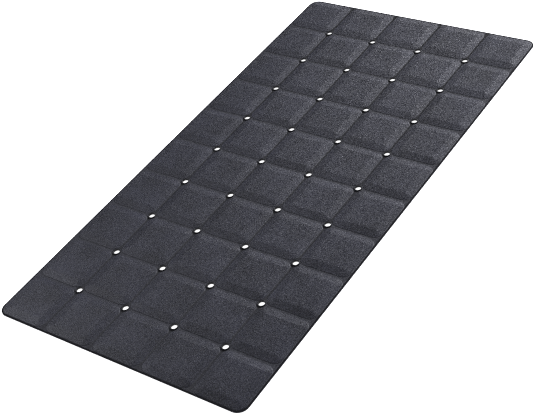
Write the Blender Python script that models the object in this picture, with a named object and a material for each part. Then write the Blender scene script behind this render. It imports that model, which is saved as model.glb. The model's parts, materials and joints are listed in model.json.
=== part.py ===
"""Seedling heat mat: a thin sealed laminate with 50 raised pads and 36 drain holes.

Frame: origin at the middle of the underside, +X across the mat, +Y along it,
+Z up out of the pads. Lengths are millimetres, turned into metres when a mesh
is made. A pair of heights is (underside, top).
"""

import math

import bpy
from mathutils import Vector
from mathutils.geometry import delaunay_2d_cdt

for old in list(bpy.data.objects):
    bpy.data.objects.remove(old, do_unlink=True)

MM = 0.001

# Outline and pad grid
WIDTH = 255.0
LENGTH = 499.0
CORNER_R = 9.5
OUTLINE_STEPS = 4
COLUMNS = 5
ROWS = 10
PITCH_X = 51.2
PITCH_Y = 49.9

# Edge seal: a strip outside the two covers, with a tongue between them
SEAL_WIDTH = 1.25
SEAL_TOP = 1.35
SEAL_CHAMFER = 0.30
SEAL_TONGUE = 4.0
COVER_INSET = SEAL_WIDTH + 0.05
INNER_INSET = SEAL_TONGUE + 0.30


def stacked(bottom, gap, thicknesses):
    """Heights of layers laid one above another, a gap apart."""
    heights = []
    for thickness in thicknesses:
        heights.append((bottom, bottom + thickness))
        bottom += thickness + gap
    return heights


# Stack of layers
LAYER_GAP = 0.03
BASE_TOP = 0.34
INSULATION, BASE_FILM, ELEMENT, TOP_FILM, SPREADER = stacked(
    BASE_TOP + LAYER_GAP, LAYER_GAP, (0.21, 0.05, 0.05, 0.05, 0.04)
)
COVER_UNDER = SPREADER[1] + LAYER_GAP
WEB_TOP = 1.25      # cover between the pads
PAD_FOOT = 1.42     # top of a pad's upright foot, where its slope starts
PAD_TOP = 2.80

# Pads
GROOVE = 1.6        # width of the crease between two pads
SLOPE_RUN = 7.8     # a pad's sloping side in plan, also its foot's corner radius
CORNER_STEPS = 4    # facets round a pad's corner
LEDGE = 0.2         # cover showing outside the outermost pads

# Drain holes and their grommets
BORE_R = 2.75
TUBE_R = 3.05
HOLE_R = TUBE_R + 0.10
GROMMET_FLANGE_R = 3.75
GROMMET_TOP = 1.95
ROUND_STEPS = 16
CLEAR_R = 5.6       # opening round a drain hole in the inner layers
CLEAR_STEPS = 6

# Heating element: one flat ribbon, out along five runs and back along five
RIBBON_WIDTH = 4.0
OUT_RUNS = (112.0, 39.5, 12.0, -62.5, -90.5)
RUNS = OUT_RUNS + tuple(-x for x in OUT_RUNS)
TURN_INNER = 225.0
TURN_OUTER = 236.0
TAIL_END = -215.0
OUT_TAIL_X = RUNS[0]
BACK_TAIL_X = RUNS[-1]

# Terminal pocket under the pad at the +X, -Y corner
TERMINAL_X = 101.4
POCKET_C = (TERMINAL_X, -223.8)
POCKET_SIZE = (30.0, 31.0)
POCKET_TOP = 2.30
PART_GAP = 0.04     # height between neighbouring parts in the pocket

# Socket: a nose through the base cover, under a wider flange
SOCKET_C = (TERMINAL_X, -231.0)
NOSE = (20.0, 10.0)
NOSE_R = 2.0
FLANGE_LIP = 2.0
SOCKET_FLANGE_R = NOSE_R + 1.0
SOCKET_STEPS = 3
COVER_NOSE_GAP = 0.15
GASKET_NOSE_GAP = 0.30
GASKET, SOCKET_FLANGE = stacked(BASE_TOP + PART_GAP, PART_GAP, (0.22, 0.42))
CONTACT_X = 6.0     # each contact's distance from the socket's middle
CONTACT_R = 2.2
CONTACT_GAP = 0.1
CONTACT = (0.15, 1.10)

# Lead strips, crimp sleeves and cutout
STRIP, CUTOUT = stacked(CONTACT[1] + PART_GAP, PART_GAP, (0.10, 0.90))
STRIP_WIDTH = 3.0
STRIP_CONTACT_LAP = 0.4
STRIP_CUTOUT_LAP = 3.0
STRIP_CRIMP_SETBACK = 0.5
CRIMP_Y = (-216.0, -210.5)
CRIMP_WALL = 0.25
CRIMP_WIDTH_GAP = 0.3   # hollow's width beyond the ribbon's
CUTOUT_Y = (-227.5, -218.5)
CUTOUT_WIDTH = 6.0
CUTOUT_R = 1.2
CUTOUT_STEPS = 3

SHARP_ANGLE = math.radians(40)


# Plan shapes: every loop runs anticlockwise seen from above
def rounded(cx, cy, width, height, radius, steps):
    loop = []
    for quarter, (sx, sy) in enumerate(((1, 1), (-1, 1), (-1, -1), (1, -1))):
        for s in range(steps + 1):
            angle = math.radians(90 * quarter + 90 * s / steps)
            loop.append(
                (
                    cx + sx * (width / 2 - radius) + radius * math.cos(angle),
                    cy + sy * (height / 2 - radius) + radius * math.sin(angle),
                )
            )
    return loop


def rectangle(cx, cy, width, height):
    return [
        (cx + sx * width / 2, cy + sy * height / 2)
        for sx, sy in ((1, 1), (-1, 1), (-1, -1), (1, -1))
    ]


def circle(cx, cy, radius, steps):
    angles = [2 * math.pi * (s + 0.5) / steps for s in range(steps)]
    return [(cx + radius * math.cos(a), cy + radius * math.sin(a)) for a in angles]


def inset_outline(inset):
    return rounded(
        0, 0, WIDTH - 2 * inset, LENGTH - 2 * inset, CORNER_R - inset, OUTLINE_STEPS
    )


def nose_outline(gap=0.0):
    """The socket's nose, grown by a gap all round."""
    return rounded(
        *SOCKET_C, NOSE[0] + 2 * gap, NOSE[1] + 2 * gap, NOSE_R + gap, SOCKET_STEPS
    )


def flange_outline():
    width, height = (size + 2 * FLANGE_LIP for size in NOSE)
    return rounded(*SOCKET_C, width, height, SOCKET_FLANGE_R, SOCKET_STEPS)


def edges_of(loop):
    return zip(loop, loop[1:] + loop[:1])


def inside(point, loop):
    """Whether a point lies in a loop, by counting the edges towards +X of it."""
    x, y = point
    hit = False
    for (x0, y0), (x1, y1) in edges_of(loop):
        if (y0 > y) != (y1 > y) and x < x0 + (x1 - x0) * (y - y0) / (y1 - y0):
            hit = not hit
    return hit


def filled(outline, holes):
    """Triangles, in plan, that fill the outline and leave the holes open."""
    points = []
    edges = []
    for loop in [outline] + holes:
        start, count = len(points), len(loop)
        points += loop
        edges += [(start + i, start + (i + 1) % count) for i in range(count)]
    inside_triangles = 1    # output type: triangles within the closed edges
    tolerance = 1e-5
    need_ids = True         # also gives the input points behind each vertex
    _, _, faces, sources, _, _ = delaunay_2d_cdt(
        [Vector(p) for p in points], edges, [], inside_triangles, tolerance, need_ids
    )
    least_area = 1e-9       # leaves out slivers between points in line
    kept = []
    for face in faces:
        a, b, c = (points[sources[v][0]] for v in face)
        area = (b[0] - a[0]) * (c[1] - a[1]) - (c[0] - a[0]) * (b[1] - a[1])
        middle = ((a[0] + b[0] + c[0]) / 3, (a[1] + b[1] + c[1]) / 3)
        if abs(area) < least_area or not inside(middle, outline):
            continue
        if any(inside(middle, hole) for hole in holes):
            continue
        kept.append((a, b, c) if area > 0 else (a, c, b))
    return kept


def at_height(loop, z):
    return [(x, y, z) for x, y in loop]


class Body:
    """Faces gathered by corner position, so neighbours share their corners."""

    def __init__(self):
        self.index = {}
        self.points = []
        self.faces = []

    def corner(self, x, y, z):
        key = (round(x, 5), round(y, 5), round(z, 5))
        if key not in self.index:
            self.index[key] = len(self.points)
            self.points.append((x * MM, y * MM, z * MM))
        return self.index[key]

    def face(self, *corners):
        self.faces.append([self.corner(*c) for c in corners])

    def flat(self, polygons, z, up):
        for polygon in polygons:
            corners = at_height(polygon, z)
            self.face(*(corners if up else corners[::-1]))

    def band(self, low, high):
        """Quads from one ring of points to the next."""
        for (a, b), (d, c) in zip(edges_of(low), edges_of(high)):
            self.face(a, b, c, d)

    def sweep(self, rings):
        """Bands through the rings and back to the first."""
        for low, high in edges_of(rings):
            self.band(low, high)

    def wall(self, loop, z0, z1):
        """Upright wall: faces out of the loop if z0 is the lower, else into it."""
        self.band(at_height(loop, z0), at_height(loop, z1))

    def make(self, name, made_of, smooth=False):
        mesh = bpy.data.meshes.new(name)
        mesh.from_pydata(self.points, [], self.faces)
        mesh.update()
        mesh.materials.append(made_of)
        if smooth:
            mesh.polygons.foreach_set("use_smooth", [True] * len(mesh.polygons))
            mesh.set_sharp_from_angle(angle=SHARP_ANGLE)
        bpy.context.scene.collection.objects.link(bpy.data.objects.new(name, mesh))


def sheet(name, outline, holes, heights, made_of, smooth=False):
    """A flat layer with openings."""
    z0, z1 = heights
    body = Body()
    plan = filled(outline, holes)
    body.flat(plan, z0, up=False)
    body.flat(plan, z1, up=True)
    body.wall(outline, z0, z1)
    for hole in holes:
        body.wall(hole, z1, z0)
    body.make(name, made_of, smooth)


def mitred(path, width):
    """The two long sides of a flat ribbon along a square-cornered path."""
    normals = []
    for (x0, y0), (x1, y1) in zip(path, path[1:]):
        length = math.hypot(x1 - x0, y1 - y0)
        normals.append(((y0 - y1) / length, (x1 - x0) / length))
    left, right = [], []
    for i, (x, y) in enumerate(path):
        # A corner's offset is the sum of the normals of the stretches it joins
        touching = normals[max(i - 1, 0) : i + 1]
        dx = sum(n[0] for n in touching) * width / 2
        dy = sum(n[1] for n in touching) * width / 2
        left.append((x + dx, y + dy))
        right.append((x - dx, y - dy))
    return left, right


def ribbon(name, path, width, heights, made_of):
    left, right = mitred(path, width)
    z0, z1 = heights
    quads = [
        (right[i], right[i + 1], left[i + 1], left[i]) for i in range(len(path) - 1)
    ]
    body = Body()
    body.flat(quads, z1, up=True)
    body.flat(quads, z0, up=False)
    body.wall(right + left[::-1], z0, z1)
    body.make(name, made_of)


def material(name, colour, roughness, metallic=0.0):
    made = bpy.data.materials.new(name)
    made.use_nodes = True
    shader = made.node_tree.nodes["Principled BSDF"]
    shader.inputs["Base Color"].default_value = (*colour, 1.0)
    shader.inputs["Roughness"].default_value = roughness
    shader.inputs["Metallic"].default_value = metallic
    made.diffuse_color = (*colour, 1.0)
    return made


AMBER = (0.55, 0.28, 0.06)
COVER = material("cover_black", (0.050, 0.050, 0.058), roughness=0.62)
BASE = material("base_black", (0.040, 0.040, 0.045), roughness=0.70)
SEAL = material("seal_black", (0.012, 0.012, 0.014), roughness=0.50)
GROMMET = material("grommet_black", (0.015, 0.015, 0.018), roughness=0.45)
FOAM = material("foam_grey", (0.35, 0.35, 0.36), roughness=0.90)
FILM_LOW = material("film_amber_lower", AMBER, roughness=0.30)
FILM_HIGH = material("film_amber_upper", AMBER, roughness=0.30)
ALLOY = material("element_alloy", (0.42, 0.40, 0.38), roughness=0.35, metallic=1.0)
FOIL = material("foil_aluminium", (0.80, 0.80, 0.81), roughness=0.30, metallic=1.0)
SOCKET = material("socket_nylon", (0.03, 0.03, 0.03), roughness=0.50)
RUBBER = material("gasket_silicone", (0.45, 0.10, 0.06), roughness=0.60)
BRASS = material("contact_brass", (0.78, 0.60, 0.26), roughness=0.28, metallic=1.0)
COPPER = material("strip_copper", (0.72, 0.36, 0.22), roughness=0.35, metallic=1.0)
TINNED = material("crimp_tinned", (0.62, 0.62, 0.60), roughness=0.35, metallic=1.0)
CAN = material("cutout_can", (0.55, 0.55, 0.56), roughness=0.40, metallic=1.0)


# Grid lines between the pads; their crossings carry the drain holes
GRID_X = [(i - (COLUMNS - 2) / 2) * PITCH_X for i in range(COLUMNS - 1)]
GRID_Y = [(j - (ROWS - 2) / 2) * PITCH_Y for j in range(ROWS - 1)]


def pad_spans(lines, half):
    """Start and end of each pad along one axis."""
    margin = COVER_INSET + LEDGE
    starts = [-half + margin] + [line + GROOVE / 2 for line in lines]
    ends = [line - GROOVE / 2 for line in lines] + [half - margin]
    return list(zip(starts, ends))


def at_crossings(radius, steps):
    return [circle(x, y, radius, steps) for x in GRID_X for y in GRID_Y]


DRAIN_HOLES = at_crossings(HOLE_R, ROUND_STEPS)
POCKET = rectangle(*POCKET_C, *POCKET_SIZE)
COVER_OUTLINE = inset_outline(COVER_INSET)


def add_pad(body, foot, top):
    """An upright foot, sloping sides with fanned corners, and a flat top."""
    body.wall(foot, WEB_TOP, PAD_FOOT)
    top = at_height(top, PAD_TOP)
    ring = at_height(foot, PAD_FOOT)
    per_corner = CORNER_STEPS + 1
    for q in range(4):
        arc = ring[q * per_corner : (q + 1) * per_corner]
        for a, b in zip(arc, arc[1:]):
            body.face(top[q], a, b)
        after = ring[(q + 1) * per_corner % len(ring)]
        body.face(top[q], arc[-1], after, top[(q + 1) % 4])
    body.face(*top)


def top_cover():
    """A thin sheet moulded with the pads, hollowed from below for the terminals."""
    body = Body()
    feet, tops = [], []
    for x0, x1 in pad_spans(GRID_X, WIDTH / 2):
        for y0, y1 in pad_spans(GRID_Y, LENGTH / 2):
            cx, cy, width, height = (x0 + x1) / 2, (y0 + y1) / 2, x1 - x0, y1 - y0
            feet.append(rounded(cx, cy, width, height, SLOPE_RUN, CORNER_STEPS))
            tops.append(
                rectangle(cx, cy, width - 2 * SLOPE_RUN, height - 2 * SLOPE_RUN)
            )
    body.flat(filled(COVER_OUTLINE, DRAIN_HOLES + feet), WEB_TOP, up=True)
    for foot, top in zip(feet, tops):
        add_pad(body, foot, top)
    body.flat(filled(COVER_OUTLINE, DRAIN_HOLES + [POCKET]), COVER_UNDER, up=False)
    body.wall(COVER_OUTLINE, COVER_UNDER, WEB_TOP)
    for hole in DRAIN_HOLES:
        body.wall(hole, WEB_TOP, COVER_UNDER)
    body.wall(POCKET, POCKET_TOP, COVER_UNDER)
    body.flat([POCKET], POCKET_TOP, up=False)
    body.make("top_cover", COVER)


def base_cover():
    """Flat, with the drain holes and the window for the socket."""
    holes = DRAIN_HOLES + [nose_outline(COVER_NOSE_GAP)]
    sheet("base_cover", COVER_OUTLINE, holes, (0.0, BASE_TOP), BASE)


def edge_seal():
    """One closed strip round the laminate."""
    # (inset from the outline, height)
    profile = [
        (SEAL_CHAMFER, 0.0),
        (0.0, SEAL_CHAMFER),
        (0.0, SEAL_TOP - SEAL_CHAMFER),
        (SEAL_CHAMFER, SEAL_TOP),
        (SEAL_WIDTH, SEAL_TOP),
        (SEAL_WIDTH, SPREADER[1]),
        (SEAL_TONGUE, SPREADER[1]),
        (SEAL_TONGUE, INSULATION[0]),
        (SEAL_WIDTH, INSULATION[0]),
        (SEAL_WIDTH, 0.0),
    ]
    body = Body()
    body.sweep([at_height(inset_outline(inset), z) for inset, z in profile])
    body.make("edge_seal", SEAL, smooth=True)


def inner_layers():
    """Sheets cut clear of every drain hole and of the terminal pocket."""
    outline = inset_outline(INNER_INSET)
    holes = at_crossings(CLEAR_R, CLEAR_STEPS) + [POCKET]
    for name, heights, made_of in (
        ("insulation_sheet", INSULATION, FOAM),
        ("element_base_film", BASE_FILM, FILM_LOW),
        ("element_top_film", TOP_FILM, FILM_HIGH),
        ("heat_spreader", SPREADER, FOIL),
    ):
        sheet(name, outline, holes, heights, made_of)


def heating_element():
    """The ribbon winds through all the runs; both ends are in the pocket."""
    # The y of the turn from each run to the next
    turns = (TURN_OUTER, -TURN_INNER) * 2 + (TURN_INNER, -TURN_OUTER) * 2 + (TURN_INNER,)
    path = [(OUT_TAIL_X, TAIL_END)]
    for x, next_x, turn in zip(RUNS, RUNS[1:], turns):
        path += [(x, turn), (next_x, turn)]
    path.append((BACK_TAIL_X, TAIL_END))
    ribbon("heating_element", path, RIBBON_WIDTH, ELEMENT, ALLOY)


def drain_grommet(name, cx, cy):
    """A thin tube through the laminate with a flange above the web."""
    flange_under = WEB_TOP + LAYER_GAP
    # (radius, height)
    profile = [
        (BORE_R, 0.0),
        (TUBE_R, 0.0),
        (TUBE_R, flange_under),
        (GROMMET_FLANGE_R, flange_under),
        (GROMMET_FLANGE_R, GROMMET_TOP),
        (BORE_R, GROMMET_TOP),
    ]
    body = Body()
    body.sweep([at_height(circle(cx, cy, r, ROUND_STEPS), z) for r, z in profile])
    body.make(name, GROMMET, smooth=True)


def socket_body():
    nose = nose_outline()
    flange = flange_outline()
    flange_under, flange_top = SOCKET_FLANGE
    bores = [
        circle(SOCKET_C[0] + dx, SOCKET_C[1], CONTACT_R + CONTACT_GAP, ROUND_STEPS)
        for dx in (-CONTACT_X, CONTACT_X)
    ]
    body = Body()
    body.flat(filled(nose, bores), 0.0, up=False)
    body.wall(nose, 0.0, flange_under)
    body.flat(filled(flange, [nose]), flange_under, up=False)
    body.wall(flange, flange_under, flange_top)
    body.flat(filled(flange, bores), flange_top, up=True)
    for bore in bores:
        body.wall(bore, flange_top, 0.0)
    body.make("socket_body", SOCKET)


def socket_gasket():
    window = nose_outline(GASKET_NOSE_GAP)
    sheet("socket_gasket", flange_outline(), [window], GASKET, RUBBER)


def socket_contacts():
    for number, dx in enumerate((CONTACT_X, -CONTACT_X), 1):
        outline = circle(SOCKET_C[0] + dx, SOCKET_C[1], CONTACT_R, ROUND_STEPS)
        sheet(f"socket_contact_{number}", outline, [], CONTACT, BRASS, smooth=True)


def lead_strips():
    """Contact to crimp on one side; crimp to cutout to contact on the other."""
    socket_x, socket_y = SOCKET_C
    contact_reach = CONTACT_X - CONTACT_R + STRIP_CONTACT_LAP
    crimp_end = CRIMP_Y[1] - STRIP_CRIMP_SETBACK
    paths = (
        [
            (OUT_TAIL_X, crimp_end),
            (OUT_TAIL_X, socket_y),
            (socket_x + contact_reach, socket_y),
        ],
        [
            (BACK_TAIL_X, CUTOUT_Y[1] - STRIP_CUTOUT_LAP),
            (BACK_TAIL_X, crimp_end),
        ],
        [
            (socket_x - contact_reach, socket_y),
            (BACK_TAIL_X, socket_y),
            (BACK_TAIL_X, CUTOUT_Y[0] + STRIP_CUTOUT_LAP),
        ],
    )
    for number, path in enumerate(paths, 1):
        ribbon(f"lead_strip_{number}", path, STRIP_WIDTH, STRIP, COPPER)


def crimp_sleeve(name, cx):
    """A flattened sleeve, open at both ends, round the ribbon and its lead."""
    z0 = ELEMENT[0] - PART_GAP
    z1 = STRIP[1] + PART_GAP

    def section(wall, y):
        width = RIBBON_WIDTH + CRIMP_WIDTH_GAP + 2 * wall
        loop = rectangle(cx, (z0 + z1) / 2, width, z1 - z0 + 2 * wall)
        return [(x, y, z) for x, z in loop]

    y0, y1 = CRIMP_Y
    body = Body()
    body.sweep(
        [
            section(CRIMP_WALL, y1),
            section(CRIMP_WALL, y0),
            section(0.0, y0),
            section(0.0, y1),
        ]
    )
    body.make(name, TINNED)


def thermal_cutout():
    y0, y1 = CUTOUT_Y
    outline = rounded(
        BACK_TAIL_X, (y0 + y1) / 2, CUTOUT_WIDTH, y1 - y0, CUTOUT_R, CUTOUT_STEPS
    )
    sheet("thermal_cutout", outline, [], CUTOUT, CAN)


top_cover()
base_cover()
edge_seal()
inner_layers()
heating_element()
for column, grid_x in enumerate(GRID_X, 1):
    for row, grid_y in enumerate(GRID_Y, 1):
        drain_grommet(f"drain_grommet_r{row}_c{column}", grid_x, grid_y)
socket_body()
socket_gasket()
socket_contacts()
lead_strips()
crimp_sleeve("crimp_sleeve_1", OUT_TAIL_X)
crimp_sleeve("crimp_sleeve_2", BACK_TAIL_X)
thermal_cutout()
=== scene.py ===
"""Padded mat: a top skin of 5 x 10 raised pads, a thin base skin, a bound edge and drain grommets
where the creases cross. The skins take the place of the plain CAD covers.

The mat lies flat, centred on x = 0, y = 0, with its underside on z = 0. Its width runs along x
and its length along y. The camera looks from the +x, -y side, so "far" means +y.
Meshes are laid out in millimetres and scaled to metres when they are built.
"""
import json
import math
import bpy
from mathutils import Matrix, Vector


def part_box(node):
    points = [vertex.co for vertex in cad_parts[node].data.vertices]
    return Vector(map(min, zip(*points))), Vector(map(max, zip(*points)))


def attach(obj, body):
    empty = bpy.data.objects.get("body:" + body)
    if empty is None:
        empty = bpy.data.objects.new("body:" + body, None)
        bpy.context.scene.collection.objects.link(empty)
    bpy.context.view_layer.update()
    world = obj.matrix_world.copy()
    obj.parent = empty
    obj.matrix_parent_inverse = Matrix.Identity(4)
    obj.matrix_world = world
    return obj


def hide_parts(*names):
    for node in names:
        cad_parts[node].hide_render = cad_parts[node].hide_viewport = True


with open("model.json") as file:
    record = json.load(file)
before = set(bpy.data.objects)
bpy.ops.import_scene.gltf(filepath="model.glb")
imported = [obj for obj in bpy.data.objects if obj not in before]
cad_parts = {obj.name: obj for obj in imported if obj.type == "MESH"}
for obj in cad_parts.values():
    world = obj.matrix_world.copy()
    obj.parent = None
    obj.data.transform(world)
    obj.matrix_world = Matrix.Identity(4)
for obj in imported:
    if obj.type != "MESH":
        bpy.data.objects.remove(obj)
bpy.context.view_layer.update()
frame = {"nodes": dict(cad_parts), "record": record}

from types import SimpleNamespace

import bpy
import numpy as np
from mathutils import Matrix, Vector
from mathutils.geometry import delaunay_2d_cdt

MM = 0.001
RNG = np.random.default_rng(4107)


# ---------------------------------------------------------------------------
# Sizes (mm), read from the CAD pieces where the skins must fit them
# ---------------------------------------------------------------------------
def box_mm(node):
    low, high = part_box(node)
    return [v * 1000 for v in low], [v * 1000 for v in high]


def middle(node, axis):
    low, high = box_mm(node)
    return (low[axis] + high[axis]) / 2


ROWS, COLUMNS = 10, 5
HALF_WIDTH, HALF_LENGTH, SEAL_TOP = box_mm("edge_seal")[1]
COVER_LOW, COVER_HIGH = box_mm("top_cover")
COVER_BOTTOM = COVER_LOW[2]
BASE_HALF_WIDTH, BASE_HALF_LENGTH, BASE_TOP = box_mm("base_cover")[1]
CORNER_RADIUS = 9.5
COVER_INSET = HALF_WIDTH - COVER_HIGH[0]
SHARP_ANGLE = 50        # degrees; edges bent further than this are shaded sharp

# Lines of the creases, which cross at the drain holes
CREASE_X = [middle(f"drain_grommet_r1_c{c}", 0) for c in range(1, COLUMNS)]
CREASE_Y = [middle(f"drain_grommet_r{r}_c1", 1) for r in range(1, ROWS)]
PITCH_X = (CREASE_X[-1] - CREASE_X[0]) / (COLUMNS - 2)

# Pads
WEB_TOP = 1.25          # height of the skin in the creases
PAD_FOOT = 1.42         # height of the flank's plane at its foot
PAD_TOP = COVER_HIGH[2]
SLOPE_RUN = 7.8         # level distance from the flat top's edge to the foot
SLOPE_FALL = (PAD_TOP - PAD_FOOT) / SLOPE_RUN
SOFT = 0.55             # the top's edge is rounded over this distance on either side
GROOVE = 1.6            # width between neighbouring pads
LEDGE = 0.2             # width outside the outermost pads
FAR_SQUEEZE = 0.88      # run of a pad's far slope, as a share of the others
LEAN = 0.0035           # typical tilt of a pad top, height over distance
LEAN_FADE = SLOPE_RUN - 0.7     # distance down the flank at which the tilt has died away
ARC = 8                 # segments round each pad corner
SIDE = 7                # points between the corners on each side of a pad

# Drain holes and grommets
HOLE_RADIUS = 3.15
HOLE_STEPS = 4 * ARC
BORE_RADIUS = 2.75
TUBE_RADIUS = 3.05
FLANGE_RADIUS = 3.75
FLANGE_TOP = 1.95


# ---------------------------------------------------------------------------
# Mesh helpers
# ---------------------------------------------------------------------------
def add_object(name, data):
    obj = bpy.data.objects.new(name, data)
    bpy.context.scene.collection.objects.link(obj)
    return obj


class Builder:
    """Collects a mesh in mm: points merged by place, faces as lists of point numbers."""

    def __init__(self):
        self.numbers = {}
        self.points = []
        self.faces = []

    def at(self, x, y, z):
        # the offset keeps round values away from rounding ties
        key = tuple(round(v * 1e4 + 0.137) for v in (x, y, z))
        number = self.numbers.get(key)
        if number is None:
            number = self.numbers[key] = len(self.points)
            self.points.append((x, y, z))
        return number

    def level(self, outline, z):
        return [self.at(x, y, z) for x, y in outline]

    def face(self, ring):
        """Adds a face, leaving out repeated neighbours and faces that collapse."""
        kept = []
        for number in ring:
            if not kept or number != kept[-1]:
                kept.append(number)
        if len(kept) > 1 and kept[0] == kept[-1]:
            kept.pop()
        if len(kept) >= 3 and len(set(kept)) == len(kept):
            self.faces.append(tuple(kept))

    def band(self, low, high, flip=False):
        """Quads between two closed rings; they face outward unless flipped."""
        for i in range(len(low)):
            j = (i + 1) % len(low)
            quad = (low[i], low[j], high[j], high[i])
            self.face(quad[::-1] if flip else quad)

    def tube(self, rings):
        """Bands through all the rings and from the last back to the first."""
        for low, high in zip(rings, rings[1:] + rings[:1]):
            self.band(low, high)

    def fill(self, loops, z, up):
        """A level face inside the first loop, left open inside the others."""
        numbers = [self.at(x, y, z) for loop in loops for x, y in loop]
        for a, b, c in fill_plane(loops):
            triangle = (a, b, c) if up else (a, c, b)
            self.face([numbers[i] for i in triangle])

    def build(self, name, smooth=True):
        mesh = bpy.data.meshes.new(name)
        mesh.from_pydata((np.asarray(self.points, float) * MM).tolist(), [], self.faces)
        mesh.update()
        if smooth:
            mesh.polygons.foreach_set("use_smooth", [True] * len(mesh.polygons))
            mesh.set_sharp_from_angle(angle=math.radians(SHARP_ANGLE))
        return add_object(name, mesh)


def rounded(half_x, half_y, radius, steps, centre=(0.0, 0.0)):
    """Anticlockwise rounded rectangle, each corner an arc of steps + 1 points."""
    loop = []
    for quarter, (sx, sy) in enumerate(((1, 1), (-1, 1), (-1, -1), (1, -1))):
        for s in range(steps + 1):
            angle = math.radians(90 * quarter + 90 * s / steps)
            loop.append((
                centre[0] + sx * (half_x - radius) + radius * math.cos(angle),
                centre[1] + sy * (half_y - radius) + radius * math.sin(angle),
            ))
    return loop


def circle(centre_x, centre_y, radius, steps):
    angles = [2 * math.pi * k / steps for k in range(steps)]
    return [(centre_x + radius * math.cos(a), centre_y + radius * math.sin(a)) for a in angles]


def arc_points(centre_d, centre_z, radius, start, end, steps):
    """Arc in a profile's plane, from start to end in degrees."""
    points = []
    for k in range(steps + 1):
        angle = math.radians(start + (end - start) * k / steps)
        points.append((centre_d + radius * math.cos(angle), centre_z + radius * math.sin(angle)))
    return points


def within(point, loop):
    """Whether the point lies inside the loop, by counting crossings."""
    x, y = point
    x0, y0 = loop[:, 0], loop[:, 1]
    x1, y1 = np.roll(x0, -1), np.roll(y0, -1)
    cross = (y0 > y) != (y1 > y)
    # level edges divide by zero, but never count as crossed
    with np.errstate(divide="ignore", invalid="ignore"):
        hit = cross & (x < x0 + (x1 - x0) * (y - y0) / (y1 - y0))
    return bool(hit.sum() % 2)


def fill_plane(loops):
    """Anticlockwise triangles filling the first loop outside the others (joined numbering)."""
    points = [p for loop in loops for p in loop]
    edges, start = [], 0
    for loop in loops:
        count = len(loop)
        edges += [(start + i, start + (i + 1) % count) for i in range(count)]
        start += count
    _, _, faces, origin, _, _ = delaunay_2d_cdt([Vector(p) for p in points], edges, [], 1, 1e-6, True)
    holes = []
    for loop in loops[1:]:
        outline = np.array(loop)
        centre = outline.mean(0)
        holes.append((centre, np.abs(outline - centre).max(0), outline))
    kept = []
    for face in faces:
        triangle = [origin[v][0] for v in face]
        a, b, c = (np.array(points[i]) for i in triangle)
        area = (b[0] - a[0]) * (c[1] - a[1]) - (c[0] - a[0]) * (b[1] - a[1])
        if abs(area) < 1e-9:
            continue
        centroid = (a + b + c) / 3
        if any((np.abs(centroid - centre) < reach).all() and within(centroid, outline)
               for centre, reach, outline in holes):
            continue
        kept.append(tuple(triangle) if area > 0 else (triangle[0], triangle[2], triangle[1]))
    return kept


# ---------------------------------------------------------------------------
# Top skin: pads with plane flanks and conical corners, a stepped crease between them
# ---------------------------------------------------------------------------
def flank(distance):
    """Height of the skin at a distance outside the flat top's edge."""
    if distance <= -SOFT:
        return PAD_TOP
    if distance < SOFT:
        return PAD_TOP - SLOPE_FALL * (distance + SOFT) ** 2 / (4 * SOFT)
    return PAD_TOP - SLOPE_FALL * distance


# Rings round each pad: (distance out from the flat top's edge, height)
RINGS = [(d, flank(d)) for d in (0.0, 0.2, 0.55, 1.1, 2.2, 3.6, 5.1, 6.4, 7.2, 7.5)]
# distance, drop below the flank's plane
RINGS += [(d, flank(d) - drop) for d, drop in ((7.64, 0.010), (7.74, 0.035), (7.80, 0.075))]
# distance, rise above the web
RINGS += [(d, WEB_TOP + rise) for d, rise in ((7.86, 0.045), (7.93, 0.014), (8.05, 0.0))]

# Each pad's cell reaches to the middle of the creases round it, or to the cover's edge
CELL_X = [-HALF_WIDTH + COVER_INSET, *CREASE_X, HALF_WIDTH - COVER_INSET]
CELL_Y = [-HALF_LENGTH + COVER_INSET, *CREASE_Y, HALF_LENGTH - COVER_INSET]


def flat_spans(cells):
    """Start and end of each flat pad top between the cell lines."""
    starts = [cells[0] + LEDGE] + [line + GROOVE / 2 for line in cells[1:-1]]
    ends = [line - GROOVE / 2 for line in cells[1:-1]] + [cells[-1] - LEDGE]
    return [(start + SLOPE_RUN, end - SLOPE_RUN) for start, end in zip(starts, ends)]


FLAT_X, FLAT_Y = flat_spans(CELL_X), flat_spans(CELL_Y)


def side_stations(start, end):
    """Places along a pad top's side, closer together by its corners."""
    fine, coarse = 0.2, 2.2
    inner = np.linspace(start + coarse, end - coarse, SIDE - 4)
    return np.r_[start, start + fine, start + SOFT, inner, end - SOFT, end - fine, end]


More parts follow.
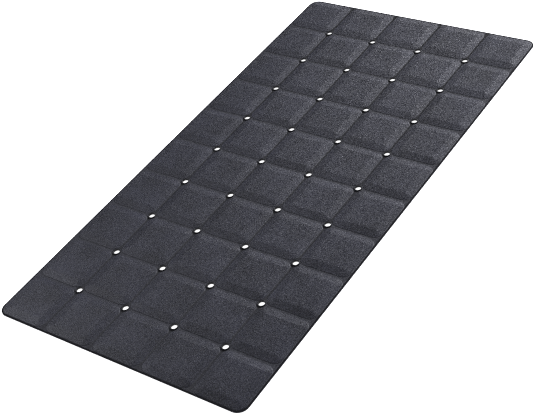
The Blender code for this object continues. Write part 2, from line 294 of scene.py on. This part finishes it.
class Pad:
    """One pad: where its flat top and its cell lie, and how the top tilts."""

    def __init__(self, column, row, tilt):
        self.x0, self.x1 = FLAT_X[column]
        self.y0, self.y1 = FLAT_Y[row]
        self.x_stations = side_stations(self.x0, self.x1)
        self.y_stations = side_stations(self.y0, self.y1)
        self.cell_x = CELL_X[column:column + 2]
        self.cell_y = CELL_Y[row:row + 2]
        self.tilt_x, self.tilt_y = tilt
        self.far_squeeze = FAR_SQUEEZE if row < ROWS - 1 else 1.0

    def lean(self, x, y, distance):
        """Height added by the tilt, fading down the flank."""
        middle_x, middle_y = (self.x0 + self.x1) / 2, (self.y0 + self.y1) / 2
        fade = max(0.0, 1 - distance / LEAN_FADE)
        return (self.tilt_x * (x - middle_x) + self.tilt_y * (y - middle_y)) * fade

    def outline(self, distance):
        """Ring outside the flat top: +x side, its corner arc, +y side, and so on."""
        x0, x1, y0, y1 = self.x0, self.x1, self.y0, self.y1
        xs, ys = self.x_stations[1:-1], self.y_stations[1:-1]
        sides = (
            [(x1 + distance, y) for y in ys],
            [(x, y1 + distance * self.far_squeeze) for x in xs[::-1]],
            [(x0 - distance, y) for y in ys[::-1]],
            [(x, y0 - distance) for x in xs],
        )
        corners = ((x1, y1), (x0, y1), (x0, y0), (x1, y0))
        points = []
        for quarter, (side, (x, y)) in enumerate(zip(sides, corners)):
            squeeze = self.far_squeeze if quarter < 2 else 1.0
            points += side
            for k in range(ARC + 1):
                angle = math.radians(90 * quarter + 90 * k / ARC)
                points.append((x + distance * math.cos(angle),
                               y + distance * math.sin(angle) * squeeze))
        return points


def add_pad_top(skin, pad):
    """The flat top, with its rounding already begun inside the edge."""
    xs, ys = pad.x_stations, pad.y_stations
    grid = np.empty((len(xs), len(ys)), int)
    for i, x in enumerate(xs):
        for j, y in enumerate(ys):
            inside = min(x - pad.x0, pad.x1 - x, y - pad.y0, pad.y1 - y)
            grid[i, j] = skin.at(x, y, flank(-inside) + pad.lean(x, y, 0))
    for i in range(len(xs) - 1):
        for j in range(len(ys) - 1):
            skin.face((grid[i, j], grid[i + 1, j], grid[i + 1, j + 1], grid[i, j + 1]))


def add_pad_flank(skin, pad):
    """Rings from the top's edge down to the web; returns the last ring and its outline."""
    inner = None
    for distance, height in RINGS:
        outline = pad.outline(distance)
        outer = [skin.at(x, y, height + pad.lean(x, y, distance)) for x, y in outline]
        if inner:
            for i in range(len(outer)):
                j = (i + 1) % len(outer)
                skin.face((inner[i], outer[i], outer[j], inner[j]))
        inner = outer
    return inner, outline


def cell_corner(quarter, corner_x, corner_y, sx, sy):
    """Points the web's corner runs out to: a quarter of a hole, the mat's corner or one point."""
    on_edge_x = corner_x in (CELL_X[0], CELL_X[-1])
    on_edge_y = corner_y in (CELL_Y[0], CELL_Y[-1])
    if on_edge_x != on_edge_y:
        return [(corner_x, corner_y)] * (ARC + 1)
    points = []
    for k in range(ARC + 1):
        if on_edge_x:
            radius = CORNER_RADIUS - COVER_INSET
            angle = math.radians(90 * quarter + 90 * k / ARC)
            points.append((corner_x - sx * radius + radius * math.cos(angle),
                           corner_y - sy * radius + radius * math.sin(angle)))
        else:
            angle = math.radians(90 * k / ARC)
            share_x, share_y = math.sin(angle), math.cos(angle)
            if quarter % 2:
                share_x, share_y = share_y, share_x
            points.append((corner_x - HOLE_RADIUS * share_x * sx,
                           corner_y - HOLE_RADIUS * share_y * sy))
    return points


def add_pad_web(skin, pad, foot, outline):
    """The level web from the pad's foot to the edge of its cell."""
    per_quarter = SIDE + ARC + 1
    for quarter in range(4):
        right, far = quarter in (0, 3), quarter in (0, 1)
        corner_x, corner_y = pad.cell_x[right], pad.cell_y[far]
        first = quarter * per_quarter

        # straight strip, from the corner before to this quarter's corner
        side = range(first - 1, first + SIDE + 1)
        rim = []
        for i in side:
            x, y = outline[i]
            rim.append(skin.at(x, corner_y, WEB_TOP) if quarter % 2
                       else skin.at(corner_x, y, WEB_TOP))
        for k in range(len(side) - 1):
            skin.face((foot[side[k]], rim[k], rim[k + 1], foot[side[k + 1]]))

        # corner, with a triangle on either side of it
        arc = range(first + SIDE, first + per_quarter)
        x, y = outline[arc[-1]]
        next_rim = (skin.at(corner_x, y, WEB_TOP) if quarter % 2
                    else skin.at(x, corner_y, WEB_TOP))
        points = cell_corner(quarter, corner_x, corner_y, 1 if right else -1, 1 if far else -1)
        corner = skin.level(points, WEB_TOP)
        for k in range(ARC):
            skin.face((foot[arc[k]], corner[k], corner[k + 1], foot[arc[k + 1]]))
        skin.face((foot[arc[0]], rim[-1], corner[0]))
        skin.face((foot[arc[-1]], corner[-1], next_rim))


def open_loops(builder):
    """Closed loops of edges used by one face only, the mat's outline first."""
    open_edges = {}
    for face in builder.faces:
        for a, b in zip(face, face[1:] + face[:1]):
            if (b, a) in open_edges:
                del open_edges[(b, a)]
            else:
                open_edges[(a, b)] = True
    onward = {a: b for a, b in open_edges}
    loops = []
    while onward:
        first = next(iter(onward))
        loop = [first]
        number = onward.pop(first)
        while number != first:
            loop.append(number)
            number = onward.pop(number)
        loops.append(loop)
    loops.sort(key=lambda loop: (-max(abs(builder.points[i][1]) for i in loop), -len(loop)))
    return loops


def close_down(builder, z):
    """Adds walls from every open edge down to height z and a level face that joins them."""
    outlines = []
    for loop in open_loops(builder):
        outline = [builder.points[i][:2] for i in loop]
        low = builder.level(outline, z)
        for i in range(len(loop)):
            j = (i + 1) % len(loop)
            builder.face((loop[j], loop[i], low[i], low[j]))
        outlines.append(outline)
    builder.fill(outlines, z, up=False)


def cover_skin():
    skin = Builder()
    tilt = RNG.normal(0, 1, (COLUMNS, ROWS, 2))
    for column in range(COLUMNS):
        for row in range(ROWS):
            pad = Pad(column, row, tilt[column, row] * LEAN)
            add_pad_top(skin, pad)
            foot, outline = add_pad_flank(skin, pad)
            add_pad_web(skin, pad, foot, outline)
    close_down(skin, COVER_BOTTOM)
    return skin.build("cover_skin")


# ---------------------------------------------------------------------------
# Edge binding: a strip swept round the mat, with a tongue between the skins
# ---------------------------------------------------------------------------
def divided(loop):
    """The loop with its long straight sides cut into shorter lengths."""
    dense = []
    for start, end in zip(loop, loop[1:] + loop[:1]):
        dense.append(start)
        gap_x, gap_y = end[0] - start[0], end[1] - start[1]
        gap = math.hypot(gap_x, gap_y)
        if gap > 20:
            parts = 24 if gap > 300 else 12
            dense += [(start[0] + gap_x * k / parts, start[1] + gap_y * k / parts)
                      for k in range(1, parts)]
    return dense


def edge_binding():
    width = 1.25
    foot_round, outer_round, inner_round = 0.25, 0.34, 0.12
    tongue_reach, tongue_low, tongue_high = 4.0, 0.37, 0.89
    # (distance in from the mat's outline, height)
    profile = (
        arc_points(foot_round, foot_round, foot_round, start=270, end=180, steps=4)
        + arc_points(outer_round, SEAL_TOP - outer_round, outer_round, start=180, end=90, steps=6)
        + arc_points(width - inner_round, SEAL_TOP - inner_round, inner_round,
                     start=90, end=0, steps=3)
        + [(width, tongue_high), (tongue_reach, tongue_high)]
        + [(tongue_reach, tongue_low), (width, tongue_low), (width, 0.0)]
    )
    strip = Builder()
    rings = []
    for inset, z in profile:
        loop = rounded(HALF_WIDTH - inset, HALF_LENGTH - inset, CORNER_RADIUS - inset, steps=12)
        rings.append(strip.level(divided(loop), z))
    strip.tube(rings)
    return strip.build("edge_binding")


# ---------------------------------------------------------------------------
# Grommets: a short tube in each drain hole with a flange on the web
# ---------------------------------------------------------------------------
def grommet_profile():
    """(radius, height), from the bore's foot out, up and back over the flange."""
    bore_foot, tube_foot = 0.10, 0.06
    flange_under, flange_outer, flange_inner = 0.10, 0.32, 0.22
    return (
        arc_points(BORE_RADIUS + bore_foot, bore_foot, bore_foot, start=180, end=270, steps=2)
        + arc_points(TUBE_RADIUS - tube_foot, tube_foot, tube_foot, start=270, end=360, steps=2)
        + [(TUBE_RADIUS, WEB_TOP + 0.02)]
        + arc_points(FLANGE_RADIUS - flange_under, WEB_TOP + 0.12, flange_under,
                     start=280, end=360, steps=2)
        + arc_points(FLANGE_RADIUS - flange_outer, FLANGE_TOP - flange_outer, flange_outer,
                     start=0, end=90, steps=5)
        + arc_points(BORE_RADIUS + flange_inner, FLANGE_TOP - flange_inner, flange_inner,
                     start=90, end=180, steps=4)
    )


def grommet(name, centre_x, centre_y):
    ring = Builder()
    ring.tube([ring.level(circle(centre_x, centre_y, radius, steps=40), z)
               for radius, z in grommet_profile()])
    return ring.build(name)


# ---------------------------------------------------------------------------
# Base skin: shallow pressed lines under the creases, drain holes, a window at the socket
# ---------------------------------------------------------------------------
PRESS_DEPTH = 0.12
PRESS_HALF = 0.9        # half the width of a pressed line's level bottom
PRESS_RUN = 0.35        # level run of its sloping sides
PANEL_RADIUS = 7.0      # corners of the panels between the pressed lines
WINDOW_HALF_X, WINDOW_HALF_Y, WINDOW_RADIUS = 10.15, 5.15, 2.15
WINDOW_REACH = 25       # a panel centred nearer than this to the socket holds the window


def base_skin():
    skin = Builder()
    socket_x, socket_y = middle("socket_body", 0), middle("socket_body", 1)
    outline = rounded(BASE_HALF_WIDTH, BASE_HALF_LENGTH, CORNER_RADIUS - COVER_INSET, steps=10)
    holes = [circle(x, y, HOLE_RADIUS, HOLE_STEPS) for x in CREASE_X for y in CREASE_Y]
    window = rounded(WINDOW_HALF_X, WINDOW_HALF_Y, WINDOW_RADIUS, steps=6,
                     centre=(socket_x, socket_y))

    # panels: (centre, outline at the pressed depth, outline on the underside)
    lines_x = [-BASE_HALF_WIDTH, *CREASE_X, BASE_HALF_WIDTH]
    lines_y = [-BASE_HALF_LENGTH, *CREASE_Y, BASE_HALF_LENGTH]
    panels = []
    for x0, x1 in zip(lines_x, lines_x[1:]):
        for y0, y1 in zip(lines_y, lines_y[1:]):
            centre = (x0 + x1) / 2, (y0 + y1) / 2
            half_x, half_y = (x1 - x0) / 2 - PRESS_HALF, (y1 - y0) / 2 - PRESS_HALF
            rim = rounded(half_x, half_y, PANEL_RADIUS, steps=8, centre=centre)
            foot = rounded(half_x - PRESS_RUN, half_y - PRESS_RUN, PANEL_RADIUS - PRESS_RUN,
                           steps=8, centre=centre)
            panels.append((centre, rim, foot))

    def wall(loop, z, flip=False):
        skin.band(skin.level(loop, z), skin.level(loop, BASE_TOP), flip)

    skin.fill([outline] + holes + [window], BASE_TOP, up=True)
    skin.fill([outline] + holes + [rim for _, rim, _ in panels], PRESS_DEPTH, up=False)
    for (x, y), rim, foot in panels:
        has_window = abs(x - socket_x) < WINDOW_REACH and abs(y - socket_y) < WINDOW_REACH
        skin.fill([foot] + ([window] if has_window else []), 0.0, up=False)
        skin.band(skin.level(foot, 0.0), skin.level(rim, PRESS_DEPTH))
    wall(outline, PRESS_DEPTH)
    for hole in holes:
        wall(hole, PRESS_DEPTH, flip=True)
    wall(window, 0.0, flip=True)
    return skin.build("base_skin", smooth=False)


top = cover_skin()
seal = edge_binding()
grommets = [
    (grommet(f"grommet_r{r}_c{c}", x, y), f"drain_grommet_r{r}_c{c}", "grommet")
    for r, y in enumerate(CREASE_Y, 1) for c, x in enumerate(CREASE_X, 1)
]
base = base_skin()


# ---------------------------------------------------------------------------
# Material helper
# ---------------------------------------------------------------------------
class Material:
    """A Principled material; the methods add nodes and return their output sockets."""

    def __init__(self, name):
        self.material = bpy.data.materials.new(name)
        self.material.use_nodes = True
        self.tree = self.material.node_tree
        self.tree.nodes.clear()
        output = self.node("OutputMaterial")
        self.bsdf = self.node("BsdfPrincipled")
        self.feed(output.inputs["Surface"], self.bsdf.outputs["BSDF"])

    def node(self, kind):
        return self.tree.nodes.new("ShaderNode" + kind)

    def feed(self, target, value):
        """Links a socket to the input, or sets the input to a value."""
        if isinstance(value, bpy.types.NodeSocket):
            self.tree.links.new(value, target)
        else:
            target.default_value = value

    def set(self, name, value):
        self.feed(self.bsdf.inputs[name], value)

    def object_place(self):
        return self.node("TexCoord").outputs["Object"]

    def surface_normal(self):
        return self.node("NewGeometry").outputs["Normal"]

    def split(self, vector):
        node = self.node("SeparateXYZ")
        self.feed(node.inputs[0], vector)
        return node.outputs

    def noise(self, place, scale, detail=4.0, roughness=0.55, output="Fac"):
        node = self.node("TexNoise")
        self.feed(node.inputs["Scale"], scale)
        self.feed(node.inputs["Detail"], detail)
        self.feed(node.inputs["Roughness"], roughness)
        self.feed(node.inputs["Vector"], place)
        return node.outputs[output]

    def remap(self, value, over, to):
        """Carries the range `over` onto the range `to`, clamped."""
        node = self.node("MapRange")
        names = ("From Min", "From Max", "To Min", "To Max")
        for name, number in zip(names, (*over, *to)):
            self.feed(node.inputs[name], number)
        self.feed(node.inputs["Value"], value)
        return node.outputs["Result"]

    def math(self, operation, *values):
        node = self.node("Math")
        node.operation = operation
        for target, value in zip(node.inputs, values):
            self.feed(target, value)
        return node.outputs[0]

    def vector(self, operation, *values, scale=None):
        node = self.node("VectorMath")
        node.operation = operation
        for target, value in zip(node.inputs, values):
            self.feed(target, value)
        if scale is not None:
            self.feed(node.inputs["Scale"], scale)
        return node.outputs[0]

    def mix(self, factor, first=(0, 0, 0), second=(1, 1, 1)):
        """Mixes two fixed colours."""
        node = self.node("Mix")
        node.data_type = "RGBA"
        self.feed(node.inputs["A"], (*first, 1))
        self.feed(node.inputs["B"], (*second, 1))
        self.feed(node.inputs["Factor"], factor)
        return node.outputs["Result"]

    def mix_sockets(self, factor, first, second):
        """Mixes two colours that come from other nodes."""
        mixed = self.mix(factor)
        self.feed(mixed.node.inputs["A"], first)
        self.feed(mixed.node.inputs["B"], second)
        return mixed

    def mix_values(self, factor, first, second):
        node = self.node("Mix")
        node.data_type = "FLOAT"
        self.feed(node.inputs["A"], first)
        self.feed(node.inputs["Factor"], factor)
        self.feed(node.inputs["B"], second)
        return node.outputs["Result"]

    def bump(self, height, strength, distance, normal=None):
        """Sets the shader's normal from a bump of the given depth in metres."""
        node = self.node("Bump")
        self.feed(node.inputs["Strength"], strength)
        self.feed(node.inputs["Distance"], distance)
        self.feed(node.inputs["Height"], height)
        if normal is not None:
            self.feed(node.inputs["Normal"], normal)
        self.set("Normal", node.outputs["Normal"])


# ---------------------------------------------------------------------------
# Materials for moulded, bound and metal parts
# ---------------------------------------------------------------------------
def moulded(name, dark, light, roughness, grain=900.0, bump=0.35, depth=0.00012, specular=0.5):
    """Matt moulded sheet: colour patches and a fine grain in colour, roughness and height."""
    patch_scale, patch_share, contrast = 55.0, 0.35, 0.28
    look = Material(name)
    place = look.object_place()
    fine = look.noise(place, grain, detail=3.0, roughness=0.6)
    patches = look.noise(place, patch_scale, detail=3.0, roughness=0.5)
    both = look.math("MULTIPLY_ADD", patches, patch_share, fine)
    centre = 0.5 + patch_share * 0.5
    tone = look.remap(both, over=(centre - contrast, centre + contrast), to=(0.0, 1.0))
    look.set("Base Color", look.mix(tone, dark, light))
    look.set("Roughness", look.remap(fine, over=(0.3, 0.7), to=(roughness + 0.07, roughness - 0.07)))
    look.set("Specular IOR Level", specular)
    look.bump(fine, strength=bump, distance=depth)
    return look


def edge_strip(name, dark, light, roughness, specular):
    """The strip round the mat: dark on top, with painted light making its upright side paler."""
    look = moulded(name, dark, light, roughness, bump=0.12, depth=0.00005, specular=specular)
    colour = look.bsdf.inputs["Base Color"].links[0].from_socket
    upward = look.split(look.surface_normal())["Z"]
    # painted light: the upright side is made paler than the top
    share = look.remap(upward, over=(0.2, 0.8), to=(3.6, 1.0))
    look.set("Base Color", look.vector("SCALE", colour, scale=share))
    return look


def metal(name, colour, roughness, scale=400.0, stretch=(1, 1, 1)):
    """Metal with a faint mottle, drawn out along the axes that stretch makes small."""
    look = Material(name)
    mapping = look.node("Mapping")
    look.feed(mapping.inputs["Scale"], stretch)
    look.feed(mapping.inputs["Vector"], look.object_place())
    mottle = look.noise(mapping.outputs["Vector"], scale)
    tone = look.remap(mottle, over=(0.3, 0.7), to=(0.0, 1.0))
    look.set("Base Color", look.mix(tone, tuple(v * 0.85 for v in colour), colour))
    look.set("Roughness", look.remap(mottle, over=(0.3, 0.7), to=(roughness + 0.1, roughness - 0.05)))
    look.set("Metallic", 1.0)
    look.bump(mottle, strength=0.15, distance=0.00005)
    return look


# ---------------------------------------------------------------------------
# Material of the top skin
# ---------------------------------------------------------------------------
GRAIN = 1050.0          # noise scale of the facets; specks and pebbles are finer
FACET_LEAN = 1.2        # how far the facets tip the normal
COVER_SHEEN = 0.5       # specular level the sheen is built on
COVER_ROUGHNESS, ROUGHNESS_SWING = 0.48, 0.08
COVER_DARK, COVER_LIGHT = (0.004, 0.0042, 0.0066), (0.034, 0.0352, 0.0500)


def cover_fields(look):
    """Values over the skin that the parts of its material share."""
    place = look.object_place()
    x, y, z = look.split(place)
    normal = look.surface_normal()
    normal_x, normal_y, _ = look.split(normal)
    # 0 at the -y end of the mat, 1 at the +y end
    endwise = look.remap(y, over=(-HALF_LENGTH * MM, HALF_LENGTH * MM), to=(0.0, 1.0))
    # -1 to 1 across the width
    across = look.math("DIVIDE", x, HALF_WIDTH * MM)
    # 1 when seen square on, 0 near edge-on
    facing = look.node("LayerWeight")
    look.feed(facing.inputs["Blend"], 0.5)
    square_on = look.remap(facing.outputs["Facing"], over=(0.63, 0.76), to=(1.0, 0.0))
    # 0 in the creases, 1 on the pads
    raised = look.remap(z, over=((WEB_TOP + 0.04) * MM, (PAD_FOOT + 0.10) * MM), to=(0.0, 1.0))
    # 0 on the creases that run along y, 1 away from them
    pitch_place = look.math("FRACT", look.math("DIVIDE", x, PITCH_X * MM))
    off_line = look.math("ABSOLUTE", look.math("SUBTRACT", pitch_place, 0.5))
    crosswise = look.remap(off_line, over=(1.0 / PITCH_X, 2.4 / PITCH_X), to=(0.0, 1.0))
    speck = look.noise(place, GRAIN * 1.27, detail=1.0, roughness=0.5)
    return SimpleNamespace(
        place=place, y=y, z=z, normal=normal, normal_x=normal_x, normal_y=normal_y,
        endwise=endwise, across=across, square_on=square_on, raised=raised,
        crosswise=crosswise, speck=speck,
    )


def facet_strength(look, at):
    """How strongly the facets lean, over the skin."""
    level = look.remap(at.z, over=((PAD_TOP - 0.40) * MM, (PAD_TOP - 0.08) * MM), to=(0.80, 1.0))
    coarse = look.remap(at.endwise, over=(0.0, 1.0), to=(0.60, 1.55))
    strength = look.math("MULTIPLY", level, coarse)
    # the grain is worn finer towards the long edges
    worn_side = look.remap(at.endwise, over=(0.0, 1.0), to=(0.30, -0.12))
    worn_edge = look.math("MULTIPLY_ADD", at.across, -0.35, worn_side)
    worn = look.math("MULTIPLY_ADD", worn_edge, at.across, 1.12)
    strength = look.math("MULTIPLY", strength, worn)
    # weaker on slopes that face +x, and near edge-on, where the grain shades itself
    right_slope = look.remap(at.normal_x, over=(0.06, 0.16), to=(1.0, 0.82))
    strength = look.math("MULTIPLY", strength, right_slope)
    seen = look.remap(at.square_on, over=(0.0, 1.0), to=(0.25, 1.0))
    return look.math("MULTIPLY", strength, seen)


def cover_normal(look, at):
    """Small facets that lean every way, with a raised grain over them."""
    facet = look.noise(at.place, GRAIN, detail=1.0, roughness=0.5, output="Color")
    centred = look.vector("SUBTRACT", facet, (0.5, 0.5, 0.5))
    leaning = look.vector("MULTIPLY", centred, (FACET_LEAN, FACET_LEAN, 0.0))
    scaled = look.vector("SCALE", leaning, scale=facet_strength(look, at))
    unit = look.vector("NORMALIZE", look.vector("ADD", at.normal, scaled))
    pebble = look.noise(at.place, GRAIN * 1.6, detail=2.0, roughness=0.7)
    look.bump(pebble, strength=0.5, distance=0.00012, normal=unit)


def cover_colour(look, at):
    """Specks on a slow drift in tone, and painted shade in the creases."""
    cloud = look.noise(at.place, 30.0, detail=3.0, roughness=0.55)
    joined = look.math("MULTIPLY_ADD", cloud, 0.5, at.speck)
    tone = look.remap(joined, over=(0.75 - 0.2, 0.75 + 0.2), to=(0.0, 1.0))
    sheet = look.mix(tone, COVER_DARK, COVER_LIGHT)
    # painted shade in the creases, at the -y end, then at the +y end
    long_crease_shade = look.mix(at.endwise, (0.0150, 0.0153, 0.0192), (0.0020, 0.0020, 0.0026))
    cross_crease_shade = look.mix(at.endwise, (0.0260, 0.0266, 0.0335), (0.0170, 0.0174, 0.0219))
    crease = look.mix_sockets(at.crosswise, long_crease_shade, cross_crease_shade)
    look.set("Base Color", look.mix_sockets(at.raised, crease, sheet))


def cover_roughness(look, at):
    sheet = look.remap(at.speck, over=(0.3, 0.7),
                       to=(COVER_ROUGHNESS + ROUGHNESS_SWING, COVER_ROUGHNESS - ROUGHNESS_SWING))
    crease = look.remap(at.crosswise, over=(0.0, 1.0), to=(0.76, 0.64))
    look.set("Roughness", look.mix_values(at.raised, crease, sheet))


def cover_sheen(look, at):
    """Specular level over the skin, with painted highlight and painted shade in it."""
    # painted highlight: the sheen fades a little from the middle of the mat to its long edges
    curve = look.remap(at.endwise, over=(0.0, 1.0), to=(-0.16 * COVER_SHEEN, -0.31 * COVER_SHEEN))
    bend = look.math("MULTIPLY_ADD", at.across, curve, -0.04 * COVER_SHEEN)
    sheen = look.math("MULTIPLY_ADD", bend, at.across, 1.035 * COVER_SHEEN)
    # painted highlight: a little stronger half way along
    hump = look.math("MULTIPLY", at.endwise, look.math("SUBTRACT", 1.0, at.endwise))
    sheen = look.math("MULTIPLY", sheen, look.math("MULTIPLY_ADD", hump, 0.26, 0.98))
    # painted shade: the creases keep only part of the sheen
    long_loss = look.remap(at.endwise, over=(0.0, 1.0), to=(0.10, 0.50))
    loss = look.math("MULTIPLY", long_loss, look.math("SUBTRACT", 1.0, at.crosswise))
    loss = look.math("MULTIPLY_ADD", at.crosswise, 0.16, loss)
    loss = look.math("MULTIPLY", loss, look.math("SUBTRACT", 1.0, at.raised))
    keep = look.math("SUBTRACT", 1.0, loss)
    # painted highlight: the steeper far slopes get more sheen, except in the last row
    far_slope_highlight = look.remap(at.normal_y, over=(0.06, 0.16), to=(1.0, 1.18))
    last_crease = CREASE_Y[-1]
    last_row = look.remap(at.y, over=((last_crease + 10) * MM, (last_crease + 20) * MM),
                          to=(1.18, 0.96))
    look.feed(far_slope_highlight.node.inputs["To Max"], last_row)
    sheen = look.math("MULTIPLY", sheen, far_slope_highlight)
    sheen = look.math("MULTIPLY", sheen, at.square_on)
    look.set("Specular IOR Level", look.math("MULTIPLY", sheen, keep))


def cover_sheet():
    """Fine sandy face of the top skin."""
    look = Material("cover_sheet")
    at = cover_fields(look)
    cover_normal(look, at)
    cover_colour(look, at)
    cover_roughness(look, at)
    cover_sheen(look, at)
    return look


# ---------------------------------------------------------------------------
# Looks by material slot
# ---------------------------------------------------------------------------
LOOKS = {
    "cover": cover_sheet(),
    "base": moulded("base_sheet", dark=(0.020, 0.020, 0.023), light=(0.034, 0.034, 0.038),
                    roughness=0.62, grain=700.0),
    "seal": edge_strip("edge_strip", dark=(0.0058, 0.0058, 0.0070),
                       light=(0.0095, 0.0095, 0.0114), roughness=0.8, specular=0.09),
    "grommet": moulded("grommet_ring", dark=(0.0085, 0.0085, 0.0102),
                       light=(0.0140, 0.0140, 0.0168), roughness=0.62,
                       bump=0.1, depth=0.00004, specular=0.26),
    "foam": moulded("foam_sheet", dark=(0.28, 0.28, 0.29), light=(0.40, 0.40, 0.41),
                    roughness=0.9, grain=1500.0, bump=0.6, depth=0.0002),
    "film_lower": moulded("film_amber_low", dark=(0.42, 0.20, 0.04), light=(0.55, 0.28, 0.06),
                          roughness=0.3, grain=200.0, bump=0.1, depth=0.00004),
    "film_upper": moulded("film_amber_high", dark=(0.44, 0.21, 0.045), light=(0.58, 0.30, 0.07),
                          roughness=0.3, grain=200.0, bump=0.1, depth=0.00004),
    "element": metal("element_foil", colour=(0.45, 0.43, 0.41), roughness=0.35,
                     stretch=(1, 0.05, 1)),
    "foil": metal("spreader_foil", colour=(0.82, 0.82, 0.83), roughness=0.28,
                  stretch=(1, 0.03, 1)),
    "socket": moulded("socket_moulding", dark=(0.014, 0.014, 0.015), light=(0.022, 0.022, 0.024),
                      roughness=0.45, bump=0.2, depth=0.00006),
    "gasket": moulded("gasket_rubber", dark=(0.30, 0.06, 0.04), light=(0.42, 0.09, 0.06),
                      roughness=0.6, bump=0.2, depth=0.00006),
    "contact": metal("contact_metal", colour=(0.80, 0.62, 0.28), roughness=0.25, scale=900),
    "strip": metal("strip_metal", colour=(0.75, 0.38, 0.24), roughness=0.32,
                   stretch=(1, 0.1, 1)),
    "crimp": metal("crimp_metal", colour=(0.64, 0.64, 0.62), roughness=0.35),
    "cutout": metal("cutout_metal", colour=(0.58, 0.58, 0.60), roughness=0.38),
}


def dress(obj, slot):
    obj.data.materials.clear()
    obj.data.materials.append(LOOKS[slot].material)


# (object, CAD piece it takes the place of, material slot)
SKINS = [(top, "top_cover", "cover"), (base, "base_cover", "base"), (seal, "edge_seal", "seal")]
SKINS += grommets

for piece, _, slot in SKINS:
    dress(piece, slot)

SLOT_OF = {part["node"]: part["material_slot"] for part in frame["record"]["subparts"]}
for node, obj in frame["nodes"].items():
    dress(obj, SLOT_OF[node])

for piece, node, slot in SKINS:
    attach(piece, "root")
    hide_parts(node)


# ---------------------------------------------------------------------------
# Stage: floor, world, lights, camera (metres)
# ---------------------------------------------------------------------------
WHITE = (1, 1, 1, 1)


def add_floor():
    """A large pale, glowing sheet just under the mat."""
    half, z = 30.0, -0.00005
    mesh = bpy.data.meshes.new("floor")
    corners = [(-half, -half, z), (half, -half, z), (half, half, z), (-half, half, z)]
    mesh.from_pydata(corners, [], [(0, 1, 2, 3)])
    floor = add_object("floor", mesh)
    look = Material("floor_pale")
    look.set("Base Color", (0.90, 0.90, 0.90, 1))
    look.set("Roughness", 0.9)
    look.set("Specular IOR Level", 0.1)
    look.set("Emission Color", WHITE)
    look.set("Emission Strength", 1.0)
    mesh.materials.append(look.material)


def set_world():
    """The camera sees a white backdrop past the floor; the world lights the mat only faintly."""
    world = bpy.data.worlds.new("studio")
    bpy.context.scene.world = world
    world.use_nodes = True
    nodes, links = world.node_tree.nodes, world.node_tree.links
    glow = nodes["Background"]
    backdrop = nodes.new("ShaderNodeBackground")
    for background, strength in ((glow, 0.025), (backdrop, 1.0)):
        background.inputs["Color"].default_value = WHITE
        background.inputs["Strength"].default_value = strength
    path = nodes.new("ShaderNodeLightPath")
    either = nodes.new("ShaderNodeMixShader")
    links.new(path.outputs["Is Camera Ray"], either.inputs[0])
    links.new(glow.outputs[0], either.inputs[1])
    links.new(backdrop.outputs[0], either.inputs[2])
    links.new(either.outputs[0], nodes["World Output"].inputs["Surface"])


LIGHT_COLOUR = (0.970, 0.979, 1.060)
# name, place, diameter, power in watts
LIGHTS = (
    ("far_box", (0.6729, 2.6989, 1.1238), 1.0, 145.0),
    ("far_left_box", (-0.3871, 2.7545, 1.1238), 1.0, 10.4),
    ("left_box", (-1.8371, 1.0607, 2.1213), 1.0, 6.8),
    ("close_fill", (-0.333, 0.7142, 0.6157), 0.33, 0.98),
    ("near_fill", (-0.5, -0.2, 0.4), 0.3, 0.80),
    ("front_box", (0.4, -2.6, 1.6), 1.2, 20.0),
)


def add_light(name, place, diameter, power):
    """A disk light aimed at the origin."""
    light = bpy.data.lights.new(name, "AREA")
    light.shape = "DISK"
    light.size = diameter
    light.energy = power
    light.color = LIGHT_COLOUR
    obj = add_object(name, light)
    obj.location = place
    obj.rotation_mode = "QUATERNION"
    obj.rotation_quaternion = (-Vector(place)).to_track_quat("-Z", "Y")


def add_camera():
    data = bpy.data.cameras.new("camera")
    data.sensor_width = 36.0
    data.sensor_fit = "HORIZONTAL"
    data.lens = 81.2044
    data.clip_start = 0.01
    camera = add_object("camera", data)
    # columns: the camera's right, up and backward directions, then its place
    camera.matrix_world = Matrix((
        (0.812105, -0.2470861, 0.5286151, 0.5635473),
        (0.5523557, 0.6175829, -0.5599058, -0.6325273),
        (-0.1881187, 0.7466858, 0.6380216, 0.664616),
        (0.0, 0.0, 0.0, 1.0),
    ))
    bpy.context.scene.camera = camera


add_floor()
set_world()
for light_values in LIGHTS:
    add_light(*light_values)
add_camera()

scene = bpy.context.scene
scene.view_settings.view_transform = "Standard"
# the Cycles settings exist only where that engine is loaded
if hasattr(scene, "cycles"):
    scene.cycles.filter_width = 1.2
    scene.cycles.use_denoising = False
